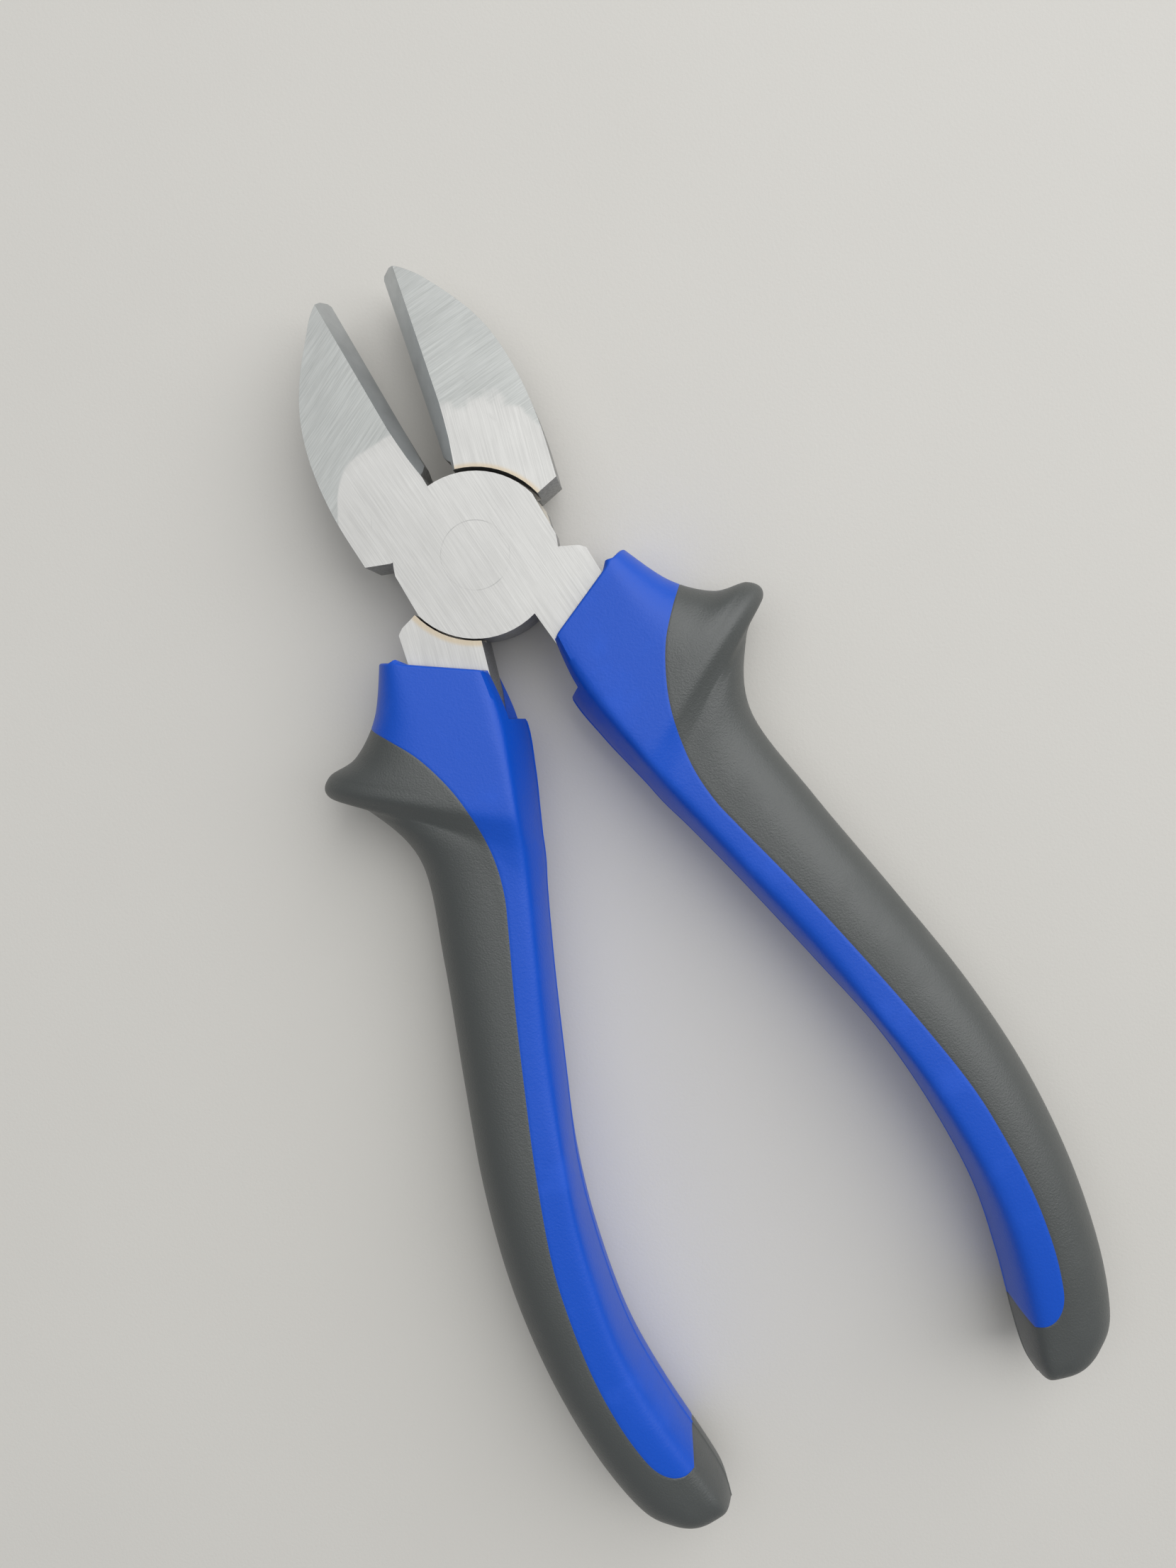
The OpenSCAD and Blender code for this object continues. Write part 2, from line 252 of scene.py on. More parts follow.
class Handle:
    """The outer surface of a handle: a point for every station s and distance x from the inner edge."""

    slot_z = HEAD_T / 2 + 0.1
    mouth_length = 7.0      # mm from the mouth to the hook station
    lip = 0.5               # mm that a small moulding lip stands out of the mouth beside the tang
    lip_x = 12.6            # mm from the inner edge to the lip
    lip_width = 0.4         # mm over which the lip fades to each side
    parting = 0.13          # mm that the mould's parting line stands proud on the inner side
    parting_width = 0.16    # mm over which the parting line fades in height
    seam_width = 0.2        # mm over which the groove at the two-colour edge fades
    pocket_end = 1.3        # station down to which the pocket's walls are straight

    def __init__(self, mouth_round, seam_depth, skin):
        self.mouth_round, self.seam_depth, self.skin = mouth_round, seam_depth, skin
        fine = np.linspace(HOOK, LAST - 1.2, 4000)
        edge, width, crease = self.edges(fine)
        self.grey_start = fine[np.argmax(edge < width)]
        self.tip = fine[np.argmax(((edge <= crease) | (edge >= width)) & (fine > GREY_LOW))]

    def edges(self, s):
        """(distance to the blue-grey edge, width, distance to the crease) at each station."""
        row = through(STATIONS[:, :4], s)
        inner, outer = row[:, :2], row[:, 2:]
        width = np.linalg.norm(outer - inner, axis=1)
        edge = crossing(TWO_TONE, inner, outer)
        crease = crossing(CREASE, inner, outer)
        crease = np.where(np.isnan(crease), 0.3 * width, np.clip(crease, 0.6, 0.45 * width))
        return np.where(np.isnan(edge), width, np.clip(edge, 0, width)), width, crease

    def blue_edge(self, s):
        edge, width, crease = self.edges(s)
        edge = np.where(s <= self.grey_start, width, edge)
        return np.where(s >= self.tip, crease, np.maximum(edge, crease))

    def low_edge(self, s):
        """Where the grey end cap reaches up the inner side: 0 before it starts, the crease at the tip."""
        _, _, crease = self.edges(s)
        rise = np.clip((s - GREY_LOW) / (self.tip - GREY_LOW), 0, 1)
        return crease * rise

    def slot_edge(self, s):
        """Where the inner side passes the top of the tang, which is the edge of the slot at the mouth."""
        _, _, crease = self.edges(s)
        low = self.low_edge(s)
        share = (self.slot_z / (SIDE_TOP * np.maximum(half_height(s), 6.5))) ** (1 / side_power(s))
        return low + (crease - low) * np.minimum(share, 0.85)

    def points(self, s, x):
        """Points on the upper half, in mm: the section's height, rounded in at the mouth and at the seam."""
        shape = x.shape
        s_all, x_all = np.broadcast_to(s[:, None], shape), x
        row = through(STATIONS[:, :4], s)
        inner, across = row[:, None, :2], (row[:, 2:] - row[:, :2])[:, None]
        edge, width, crease = (v[:, None] for v in self.edges(s))
        half = half_height(s[:, None], x_all / width)
        z = height(s[:, None], x_all, width, crease, half)
        z = np.where((x_all < 1e-6) | (x_all > width - 1e-6) | (half < 1e-6), 0, z)
        depth = np.clip(1 - s * self.mouth_length / max(self.mouth_round, 1e-6), 0, 1)[:, None]
        pull = self.mouth_round * (1 - np.sqrt(1 - depth**2))
        centre = 0.4 * width
        from_low = np.where(s[:, None] > GREY_LOW, np.abs(x_all - self.low_edge(s)[:, None]), np.inf)
        from_edge = np.minimum(np.abs(x_all - self.blue_edge(s)[:, None]), from_low)
        groove = self.seam_depth * np.exp(-(from_edge / self.seam_width) ** 2)
        seam = np.where(s_all >= self.grey_start, groove, 0)
        pull = pull + seam * (s_all < self.tip + 0.02)
        away = np.stack([x_all - centre, z], -1)
        away /= np.maximum(np.linalg.norm(away, axis=-1, keepdims=True), 1e-6)
        on_inner_side = (x_all < centre) * (s[:, None] > HOOK + 0.05)
        flash = self.parting * np.exp(-(z / self.parting_width) ** 2) * on_inner_side
        x_in = x_all - pull * away[..., 0] - flash
        z_in = np.maximum(z - pull * away[..., 1], 0)
        ahead = np.stack([-across[..., 1], across[..., 0]], -1) / width[..., None]
        at_mouth = np.clip(1 - s[:, None] * self.mouth_length, 0, 1)
        lip = self.lip * np.exp(-((x_all - self.lip_x) / self.lip_width) ** 2) * at_mouth
        place = inner + across / width[..., None] * x_in[..., None] + ahead * lip[..., None]
        return np.concatenate([place, z_in[..., None]], -1)

    def pocket(self, s, x, z):
        """Where the sleeve's inner wall is: its outer point clamped to the box that the tang fills."""
        _, width, _ = (v[:, None] for v in self.edges(s))
        straight = s[:, None] < self.pocket_end
        t = np.clip(s, 0, self.pocket_end)[:, None]
        low = 0.75 + 2.0 * np.minimum(t, 1)
        high = np.where(straight, 10.75 + 1.95 * t, width - 3)
        under_skin = np.minimum(self.slot_z, half_height(s)[:, None] - self.skin)
        top = np.where(straight, self.slot_z, under_skin)
        return np.clip(x, low, high), np.clip(z, 0, np.maximum(top, 0))

    def core(self, s, x, z):
        """Where the grip's inner wall is: its outer point drawn to the middle of the section by about the
        skin, and drawn together behind the end cap."""
        _, width, _ = (v[:, None] for v in self.edges(s))
        shrink = blend(s, CORE_END, LAST, 1, 0.1)[:, None]
        lower = np.maximum(1 - self.skin / np.maximum(half_height(s)[:, None], 1e-3), 0.2)
        return width / 2 + (x - width / 2) * (1 - 2 * self.skin / width) * shrink, z * lower * shrink

    def inside(self, s, x, z, wall):
        """Inner wall points in space for the pocket or the core."""
        x_in, z_in = wall(s, x, z)
        stay = np.minimum(s, CORE_END) if wall == self.core else s
        row = through(STATIONS[:, :4], stay)
        across = row[:, 2:] - row[:, :2]
        across = (across / np.linalg.norm(across, axis=1, keepdims=True))[:, None]
        return np.concatenate([row[:, None, :2] + across * x_in[..., None], z_in[..., None]], -1)


def eased(count, start=1.0, end=1.0):
    """Shares from 0 to 1 that crowd towards the start, the end, or both."""
    u = np.linspace(0, 1, count)
    a, b = u**start, 1 - (1 - u) ** end
    return a * (1 - u) + b * u


def near_parting(count):
    """Shares for the inner side, evenly spaced in height, with extra ones beside the parting line."""
    return np.concatenate([[0, 0.0006, 0.0022], eased(count, 3.0)[1:]])


def strip(handle, s, left, right, shares, wall, round_over=0.0):
    """One patch of a handle: rows at stations s, columns at shares of the way from left to right. round_over
    is 1 where the strip runs over the outer edge, so that its columns crowd there."""
    shares = shares[None]
    bend = np.broadcast_to(np.asarray(round_over, float), s.shape)[:, None]
    crowded = np.sin(math.pi / 2 * shares)
    u = shares * (1 - bend) + crowded * bend
    x = left[:, None] + (right - left)[:, None] * u
    outer = handle.points(s, x)
    _, width, crease = (v[:, None] for v in handle.edges(s))
    z = height(s[:, None], x, width, crease, half_height(s[:, None], x / width))
    return outer, handle.inside(s, x, z, wall)


def grid_quads(rows, columns):
    """Quads of a grid, with its points counted row by row."""
    k = np.arange(rows * columns).reshape(rows, columns)
    return np.stack([k[:-1, :-1], k[:-1, 1:], k[1:, 1:], k[1:, :-1]], -1).reshape(-1, 4)


def shell(patches):
    """Joins patches and their mirror images into one surface, and closes it with its inner wall and rims."""
    outer, inner, quads, start = [], [], [], 0
    for out, inn in patches:
        faces = grid_quads(*out.shape[:2]) + start
        count = out.shape[0] * out.shape[1]
        flip = np.array([1, 1, -1.0])
        outer += [out.reshape(-1, 3), out.reshape(-1, 3) * flip]
        inner += [inn.reshape(-1, 3), inn.reshape(-1, 3) * flip]
        quads += [faces, faces[:, ::-1] + count]
        start += 2 * count
    outer, inner, quads = np.concatenate(outer), np.concatenate(inner), np.concatenate(quads)
    key = np.round(outer * 2e4).astype(np.int64)
    _, first, ids = np.unique(key, axis=0, return_index=True, return_inverse=True)
    ids = ids.ravel()
    outer, inner, quads = outer[first], inner[first], ids[quads]
    quads = quads[[len(set(quad)) > 2 for quad in quads.tolist()]]
    sides = np.concatenate([quads[:, [k, (k + 1) % 4]] for k in range(4)])
    sides = sides[sides[:, 0] != sides[:, 1]]
    _, where, uses = np.unique(np.sort(sides, 1), axis=0, return_index=True, return_counts=True)
    open_sides = sides[where[uses == 1]]
    n = len(outer)
    rims = np.stack([open_sides[:, 1], open_sides[:, 0], open_sides[:, 0] + n, open_sides[:, 1] + n], 1)
    return np.concatenate([outer, inner]), np.concatenate([quads, quads[:, ::-1] + n, rims])


def place(points, side):
    """Points in mm in a half's own frame, mid-plane at z = 0, put into the tool's frame in metres."""
    p = np.array(points, float)
    turn = math.radians(REST_ANGLE / 2)
    if side == REAR:
        p = p * np.array([-1.0, 1.0, -1.0])
        turn = -turn
    c, s = math.cos(turn), math.sin(turn)
    return np.stack([c * p[:, 0] - s * p[:, 1], s * p[:, 0] + c * p[:, 1], p[:, 2] + MID_Z], 1) * MM


def new_piece(name, points, quads):
    """A mesh object from arrays: doubles merged, loose bits dropped, faces outwards, and smooth but for its
    sharp edges."""
    mesh = bpy.data.meshes.new(name)
    mesh.from_pydata(points.tolist(), [], [list(dict.fromkeys(q)) for q in quads.tolist()])
    bm = bmesh.new()
    bm.from_mesh(mesh)
    bmesh.ops.remove_doubles(bm, verts=bm.verts, dist=2e-7)
    bmesh.ops.dissolve_degenerate(bm, edges=bm.edges, dist=2e-7)
    bmesh.ops.delete(bm, geom=[edge for edge in bm.edges if not edge.link_faces], context="EDGES")
    bmesh.ops.recalc_face_normals(bm, faces=bm.faces)
    if bm.calc_volume(signed=True) < 0:
        bmesh.ops.reverse_faces(bm, faces=bm.faces)
    for face in bm.faces:
        face.smooth = True
    bm.to_mesh(mesh)
    bm.free()
    mesh.set_sharp_from_angle(angle=math.radians(40))
    piece = bpy.data.objects.new(name, mesh)
    bpy.context.scene.collection.objects.link(piece)
    return piece


def finish_piece(piece, side, node, material):
    """Gives a piece its material and its body, and hides the CAD node that it stands for."""
    piece.data.materials.clear()
    piece.data.materials.append(material)
    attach(piece, side)
    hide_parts(node)
    return piece


# ---------------------------------------------------------------- shader building

class Graph:
    """Short calls for the nodes of one tree."""

    def __init__(self, tree):
        self.tree = tree
        tree.nodes.clear()

    def node(self, kind, inputs=None, **settings):
        made = self.tree.nodes.new(kind)
        for key, value in settings.items():
            setattr(made, key, value)
        for key, value in (inputs or {}).items():
            self.feed(made.inputs[key], value)
        return made

    def feed(self, socket, value):
        if isinstance(value, bpy.types.NodeSocket):
            self.tree.links.new(value, socket)
        else:
            socket.default_value = value

    def math(self, operation, a, b=0.0):
        return self.node("ShaderNodeMath", {0: a, 1: b}, operation=operation).outputs[0]

    def step(self, value, low, high):
        """0 below low, 1 above high, smooth between. low may be the larger one, for a falling step."""
        ramp = self.node("ShaderNodeMapRange", {"Value": value, "From Min": low, "From Max": high},
                         interpolation_type="SMOOTHSTEP")
        return ramp.outputs["Result"]

    def mix(self, share, a, b):
        made = self.node("ShaderNodeMix", data_type="RGBA")
        for index, value in ((0, share), (6, a), (7, b)):
            if isinstance(value, tuple) and len(value) == 3:
                value = (*value, 1.0)
            self.feed(made.inputs[index], value)
        return made.outputs[2]

    def noise(self, vector, scale, detail=3.0, rough=0.55):
        return self.node("ShaderNodeTexNoise", {"Vector": vector, "Scale": scale, "Detail": detail,
                                                "Roughness": rough}).outputs["Fac"]

    def group(self, tree, inputs):
        made = self.tree.nodes.new("ShaderNodeGroup")
        made.node_tree = tree
        for key, value in inputs.items():
            self.feed(made.inputs[key], value)
        return made


def new_group(name, inputs, outputs):
    """A shader node group with named sockets. inputs holds (name, kind, default)."""
    tree = bpy.data.node_groups.new(name, "ShaderNodeTree")
    for label, kind, default in inputs:
        socket = tree.interface.new_socket(label, in_out="INPUT", socket_type="NodeSocket" + kind)
        if default is not None:
            socket.default_value = default
    for label, kind in outputs:
        tree.interface.new_socket(label, in_out="OUTPUT", socket_type="NodeSocket" + kind)
    g = Graph(tree)
    return g, g.node("NodeGroupInput").outputs, g.node("NodeGroupOutput").inputs


def grinding_lines_group():
    """Straight wheel marks: noise stretched along one direction in the XY plane, in two sizes."""
    g, take, give = new_group("Grinding Lines", [
        ("Position", "Vector", None), ("Direction", "Float", 0.0), ("Lines per mm", "Float", 5.0)],
        [("Lines", "Float"), ("Streaks", "Float")])
    turned = g.node("ShaderNodeVectorRotate", {"Vector": take["Position"], "Angle": take["Direction"]},
                    rotation_type="Z_AXIS", invert=True).outputs[0]
    for label, along, across, detail in (("Lines", 0.03, 1.4, 4.0), ("Streaks", 0.02, 0.35, 2.0)):
        scaled = g.node("ShaderNodeVectorMath", {0: turned, 1: (along, across, 0.6)}, operation="MULTIPLY")
        value = g.noise(scaled.outputs[0], take["Lines per mm"], detail, 0.65)
        g.feed(give[label], g.step(value, 0.25, 0.75))
    return g.tree


def fine_grain_group():
    """Moulded or blasted micro texture: two sizes of soft noise, as a height from 0 to 1."""
    g, take, give = new_group("Fine Grain", [
        ("Position", "Vector", None), ("Grains per mm", "Float", 4.0), ("Coarse Share", "Float", 0.3)],
        [("Height", "Float"), ("Speckle", "Float")])
    fine = g.noise(take["Position"], take["Grains per mm"], 2.0, 0.6)
    coarse = g.noise(take["Position"], g.math("MULTIPLY", take["Grains per mm"], 0.23), 2.0, 0.5)
    share = take["Coarse Share"]
    fine_part = g.math("MULTIPLY", fine, g.math("SUBTRACT", 1.0, share))
    g.feed(give["Height"], g.math("ADD", fine_part, g.math("MULTIPLY", coarse, share)))
    g.feed(give["Speckle"], g.step(fine, 0.6, 0.78))
    return g.tree


def handling_marks_group():
    """Soft patches where hands and packing have rubbed a surface: wide noise as a mask from 0 to 1."""
    g, take, give = new_group("Handling Marks", [
        ("Position", "Vector", None), ("Patch Size", "Float", 8.0), ("Cover", "Float", 0.5)],
        [("Mask", "Float")])
    scale = g.math("DIVIDE", 1.0, take["Patch Size"])
    value = g.noise(take["Position"], scale, 4.0, 0.6)
    low = g.math("SUBTRACT", 0.75, g.math("MULTIPLY", take["Cover"], 0.5))
    g.feed(give["Mask"], g.step(value, low, g.math("ADD", low, 0.2)))
    return g.tree


def shared_group(name):
    """Builds a shared effect once, and finds it again after that."""
    makers = {"Grinding Lines": grinding_lines_group, "Fine Grain": fine_grain_group,
              "Handling Marks": handling_marks_group}
    return bpy.data.node_groups.get(name) or makers[name]()


def new_material(name):
    material = bpy.data.materials.new(name)
    material.use_nodes = True
    return material, Graph(material.node_tree)


def half_position(g, side):
    """Object coordinates turned into a half's own frame, in mm, with its mid-plane at z = 0."""
    flip = -1.0 if side == REAR else 1.0
    raw = g.node("ShaderNodeTexCoord").outputs["Object"]
    return g.node("ShaderNodeMapping", {
        "Vector": raw, "Location": (0, 0, -flip * MID_Z), "Rotation": (0, 0, -math.radians(REST_ANGLE / 2)),
        "Scale": (flip / MM, 1 / MM, flip / MM)}, vector_type="POINT").outputs[0]


def close_material(g, color, roughness, height, bump, **constants):
    """The Principled shader of a finish: varying colour, roughness and bump, and constants on its sockets."""
    bump_node = g.node("ShaderNodeBump", {"Strength": 1.0, "Distance": bump * MM, "Height": height})
    shader = g.node("ShaderNodeBsdfPrincipled", {"Base Color": color, "Roughness": roughness,
                                                 "Normal": bump_node.outputs[0]})
    for key, value in constants.items():
        shader.inputs[key.replace("_", " ")].default_value = value
    g.feed(g.node("ShaderNodeOutputMaterial").inputs["Surface"], shader.outputs[0])


# How each half is ground: the direction of the jaw's lines in degrees, how far in mm the edge of that grind
# wanders, how soft it is in mm, and a factor on the bevel's colour.
# The bevel factor is painted shade: the front half's bevels are the same steel as the rear's, painted darker.
GRIND = {FRONT: (25, 0.5, 0.25, 0.72), REAR: (-15, 5.0, 1.0, 1.0)}
TINTED_R = 11.5       # mm from the pivot out to which the recess beside a cheek is tinted


def steel_material(side, settings):
    """Ground tool steel in four zones: lengthwise joint, crosswise jaw, darker bevels and forged sides, with
    a straw tint along the arcs that clear the other half's cheek, and painted shade on the rounded jaw
    edges, which take the forged sides' darker colour."""
    material, g = new_material(f"ground_steel_{side}")
    position = half_position(g, side)
    x, y, z = g.node("ShaderNodeSeparateXYZ", {0: position}).outputs
    normal = g.node("ShaderNodeTexCoord").outputs["Normal"]
    upward = g.math("ABSOLUTE", g.node("ShaderNodeSeparateXYZ", {0: normal}).outputs[2])
    lines = shared_group("Grinding Lines")
    patchy = g.noise(position, 0.35, 4.0)

    jaw_direction, wander, blur, bevel_shade_factor = GRIND[side]
    jaw_lines = g.group(lines, {"Position": position, "Direction": math.radians(jaw_direction),
                                "Lines per mm": 5.5})
    joint_lines = g.group(lines, {"Position": position, "Direction": math.radians(94), "Lines per mm": 4.5})
    side_lines = g.group(lines, {"Position": position, "Direction": 0.4, "Lines per mm": 3.0})

    # The jaw's grind begins at an arc that drops towards the jaw's outer edge.
    drop = g.math("POWER", g.math("MAXIMUM", g.math("DIVIDE", g.math("SUBTRACT", -5.5, x), 7.2), 0.0), 2.6)
    past_arc = g.math("SUBTRACT", y, g.math("SUBTRACT", 18.0, g.math("MULTIPLY", drop, 6.0)))
    wobble = g.math("MULTIPLY", g.math("SUBTRACT", patchy, 0.5), wander)
    jaw = g.step(g.math("ADD", past_arc, wobble), -blur, blur)

    # The top face takes the ground tones. Everything that tilts away from straight up takes the darker side
    # colour: this is the forged sides' own finish, and painted shade on the rounded jaw edges.
    face = g.step(upward, 0.86, 0.97)
    bevel = g.math("MULTIPLY", g.step(upward, 0.30, 0.36),
                   g.math("MULTIPLY", g.step(upward, 0.75, 0.68), g.step(x, -2.6, -2.3)))

    joint_tone = g.mix(joint_lines.outputs["Lines"], tuple(v * 0.90 for v in settings.joint_color),
                       tuple(min(v * 1.08, 1) for v in settings.joint_color))
    jaw_tone = g.mix(jaw_lines.outputs["Lines"], tuple(v * 0.86 for v in settings.jaw_color),
                     tuple(min(v * 1.13, 1) for v in settings.jaw_color))
    tone = g.mix(jaw, joint_tone, jaw_tone)
    # Painted sheen: slow noise makes the ground steel lighter and darker in soft patches, in place of soft
    # highlights.
    uneven_sheen = g.math("ADD", 0.92, g.math("MULTIPLY", g.noise(position, 0.16, 3.0), 0.16))
    tone = g.node("ShaderNodeVectorMath", {0: tone, 1: uneven_sheen}, operation="MULTIPLY").outputs[0]
    scratches = g.group(lines, {"Position": position, "Direction": math.radians(62), "Lines per mm": 1.3})
    scratch = g.math("MULTIPLY", g.step(scratches.outputs["Lines"], 0.9, 1.0), g.step(patchy, 0.5, 0.62))
    tone = g.mix(g.math("MULTIPLY", scratch, 0.3), tone, (0.30, 0.30, 0.29))
    radius = g.math("SQRT", g.math("ADD", g.math("MULTIPLY", x, x), g.math("MULTIPLY", y, y)))
    arc = g.math("MULTIPLY", g.step(radius, TINTED_R, TINTED_R - 0.6), g.step(radius, 6.0, 7.0))
    tint = g.math("MULTIPLY", arc, g.step(z, 0.5, -0.5))
    tone = g.mix(g.math("MULTIPLY", tint, 0.6), tone, (0.56, 0.44, 0.27))
    ring = g.math("MULTIPLY", g.step(g.math("ABSOLUTE", g.math("SUBTRACT", radius, RIVET_R)), 0.09, 0.02),
                  g.step(patchy, 0.42, 0.6))
    tone = g.mix(g.math("MULTIPLY", ring, 0.35), tone, (0.2, 0.2, 0.2))
    sides = g.mix(side_lines.outputs["Lines"], tuple(v * 0.75 for v in settings.side_color),
                  tuple(v * 1.25 for v in settings.side_color))
    # Painted shade: the bevel colour is scaled per half, darker on the front half.
    bevel_tone = g.mix(patchy, tuple(v * 0.85 * bevel_shade_factor for v in settings.bevel_color),
                       tuple(min(v * 1.2 * bevel_shade_factor, 1) for v in settings.bevel_color))
    color = g.mix(bevel, g.mix(face, sides, tone), bevel_tone)

    both = g.mix(jaw, joint_lines.outputs["Lines"], jaw_lines.outputs["Lines"])
    streaks = g.mix(jaw, joint_lines.outputs["Streaks"], jaw_lines.outputs["Streaks"])
    relief = g.math("ADD", g.math("MULTIPLY", both, 0.7), g.math("MULTIPLY", streaks, 0.3))
    rough = g.math("ADD", 0.38, g.math("MULTIPLY", streaks, 0.07))
    rough = g.math("ADD", rough, g.math("MULTIPLY", g.math("SUBTRACT", 1.0, face), 0.12))
    close_material(g, color, rough, relief, 0.003, Metallic=0.9)
    return material


def sleeve_material(side, settings):
    """Hard blue plastic: satin, with a fine moulded grain and paler rubbed patches."""
    material, g = new_material(f"blue_sleeve_{side}")
    position = half_position(g, side)
    grain = g.group(shared_group("Fine Grain"),
                    {"Position": position, "Grains per mm": 3.2, "Coarse Share": 0.35})
    marks = g.group(shared_group("Handling Marks"), {"Position": position, "Patch Size": 9.0, "Cover": 0.45})
    base = tuple(settings.color)
    worn = tuple(min(v * 1.12 + 0.008, 1) for v in base)
    color = g.mix(g.math("MULTIPLY", marks.outputs["Mask"], 0.6), base, worn)
    rough = g.math("ADD", 0.43, g.math("MULTIPLY", marks.outputs["Mask"], 0.08))
    close_material(g, color, rough, grain.outputs["Height"], 0.05, Specular_IOR_Level=0.45)
    return material


def grip_material(side, settings):
    """Soft grey rubber: matte, finely blasted, with pale speckles where the grain stands proud: partly the
    blasted texture, partly painted glints on the grain tops.
    """
    material, g = new_material(f"grey_grip_{side}")
    position = half_position(g, side)
    grain = g.group(shared_group("Fine Grain"),
                    {"Position": position, "Grains per mm": 4.2, "Coarse Share": 0.25})
    marks = g.group(shared_group("Handling Marks"), {"Position": position, "Patch Size": 12.0, "Cover": 0.5})
    base = tuple(settings.color)
    # Painted glints and speckled texture: pale speckles on the grain tops, shown in random patches.
    speckle_and_glint = tuple(v * 1.5 + 0.02 for v in base)
    speckle = g.math("MULTIPLY", grain.outputs["Speckle"], g.math("MULTIPLY", marks.outputs["Mask"], 0.5))
    color = g.mix(speckle, base, speckle_and_glint)
    rough = g.math("ADD", 0.43, g.math("MULTIPLY", marks.outputs["Mask"], 0.08))
    close_material(g, color, rough, grain.outputs["Height"], 0.07, Specular_IOR_Level=0.8)
    return material


# ---------------------------------------------------------------- pieces

def merged_copy(node, name):
    """A welded copy of a CAD node with its flat faces made whole, ready for its edges to be rounded."""
    bm = bmesh.new()
    bm.from_mesh(frame["nodes"][node].data)
    bmesh.ops.remove_doubles(bm, verts=bm.verts, dist=2e-7)
    bmesh.ops.dissolve_limit(bm, angle_limit=math.radians(0.4), verts=bm.verts, edges=bm.edges,
                             use_dissolve_boundaries=False)
    mesh = bpy.data.meshes.new(name)
    bm.to_mesh(mesh)
    bm.free()
    piece = bpy.data.objects.new(name, mesh)
    bpy.context.scene.collection.objects.link(piece)
    return piece


JAW_TIP = 37.0        # y of the jaws' tips in mm
BLADE_START = 13.0    # y above which the cutting edge runs along x = 0
SHOULDER_Y = 6.2      # y of the jaw's lower corner
ARC_R = 11.4          # mm from the pivot, inside which an edge belongs to the joint


def weigh_edges(piece, side, settings):
    """Bevel weights: full on the jaw's outer edge, a share of it on other sharp edges, and almost none on a
    blade. Places are in the half's own frame."""
    bm = bmesh.new()
    bm.from_mesh(piece.data)
    weight = bm.edges.layers.float.new("bevel_weight_edge")
    turn = math.radians(REST_ANGLE / 2) * (-1 if side == FRONT else 1)
    flip = -1 if side == REAR else 1
    small = settings.edge_round / settings.back_round
    for edge in bm.edges:
        if len(edge.link_faces) != 2 or edge.calc_face_angle(0) < math.radians(20):
            continue
        middle = (edge.verts[0].co + edge.verts[1].co) / 2 / MM
        x = flip * (middle.x * math.cos(turn) - middle.y * math.sin(turn))
        y = middle.x * math.sin(turn) + middle.y * math.cos(turn)
        lift = abs(middle.z - MID_Z)
        steep = sorted(abs(f.normal.z) for f in edge.link_faces)
        on_back = x < -1.5 - (JAW_TIP - y) * 0.15 and y > SHOULDER_Y and math.hypot(x, y) > ARC_R
        if abs(x) < 0.15 and y > BLADE_START:
            edge[weight] = 0.05
        elif on_back and lift > MID_Z - 1.3 and steep[0] < 0.2 and steep[1] > 0.9:
            edge[weight] = 1.0
        else:
            edge[weight] = small
    bm.to_mesh(piece.data)
    bm.free()


def build_half(side, node, settings):
    """One forging: its CAD solid with every ground edge rounded."""
    piece = merged_copy(node, node + "_forging")
    weigh_edges(piece, side, settings)
    bevel = piece.modifiers.new("ground_edges", "BEVEL")
    bevel.limit_method = "WEIGHT"
    bevel.width = settings.back_round
    bevel.segments = 3
    for polygon in piece.data.polygons:
        polygon.use_smooth = True
    piece.data.set_sharp_from_angle(angle=math.radians(25))
    weighted = piece.modifiers.new("flat_faces", "WEIGHTED_NORMAL")
    weighted.keep_sharp = True
    return finish_piece(piece, side, node, steel_material(side, settings))


def handle_rows(handle):
    """Stations of the rows: crowded at the mouth, at the start of the grip and at the tip of the tongue."""
    grip_start = handle.grey_start
    stops = [
        (0, 0.1, 7, 1, 1),
        (0.1, HOOK, 16, 1, 1),
        (HOOK, grip_start, 6, 1, 2),
        (grip_start, grip_start + 0.6, 16, 2, 1),
        (grip_start + 0.6, GREY_LOW, 200, 1, 1),
        (GREY_LOW, handle.tip, 26, 1.3, 2),
        (handle.tip, CLOSING, 10, 1.5, 1),
        (CLOSING, LAST, 30, 1, 2.6),
    ]
    return np.concatenate([a + (b - a) * eased(n, start, end)[(0 if a == 0 else 1):]
                           for a, b, n, start, end in stops])


def rows_between(rows, low, high):
    return rows[(rows >= low - 1e-9) & (rows <= high + 1e-9)]


def build_sleeve(side, node, handle, settings):
    """The blue sleeve: the face and inner side of the handle up to the two-colour edge, open at the mouth and
    along the slot, with its inner wall on the tang."""
    rows = handle_rows(handle)
    all_rows = rows_between(rows, 0, handle.tip)
    low_rows = rows_between(rows, HOOK, handle.tip)
    crease = handle.edges(all_rows)[2]
    over = np.clip((handle.blue_edge(all_rows) / handle.edges(all_rows)[1] - 0.55) / 0.45, 0, 1)
    slot = handle.slot_edge(all_rows)
    blue = handle.blue_edge(all_rows)
    patches = [
        strip(handle, low_rows, handle.low_edge(low_rows), handle.slot_edge(low_rows), near_parting(14),
              handle.pocket),
        strip(handle, all_rows, slot, crease, eased(7), handle.pocket),
        strip(handle, all_rows, crease, blue, eased(26, 1.3, 1.6), handle.pocket, over),
    ]
    points, quads = shell(patches)
    piece = new_piece(node + "_moulding", place(points, side), quads)
    return finish_piece(piece, side, node, sleeve_material(side, settings))


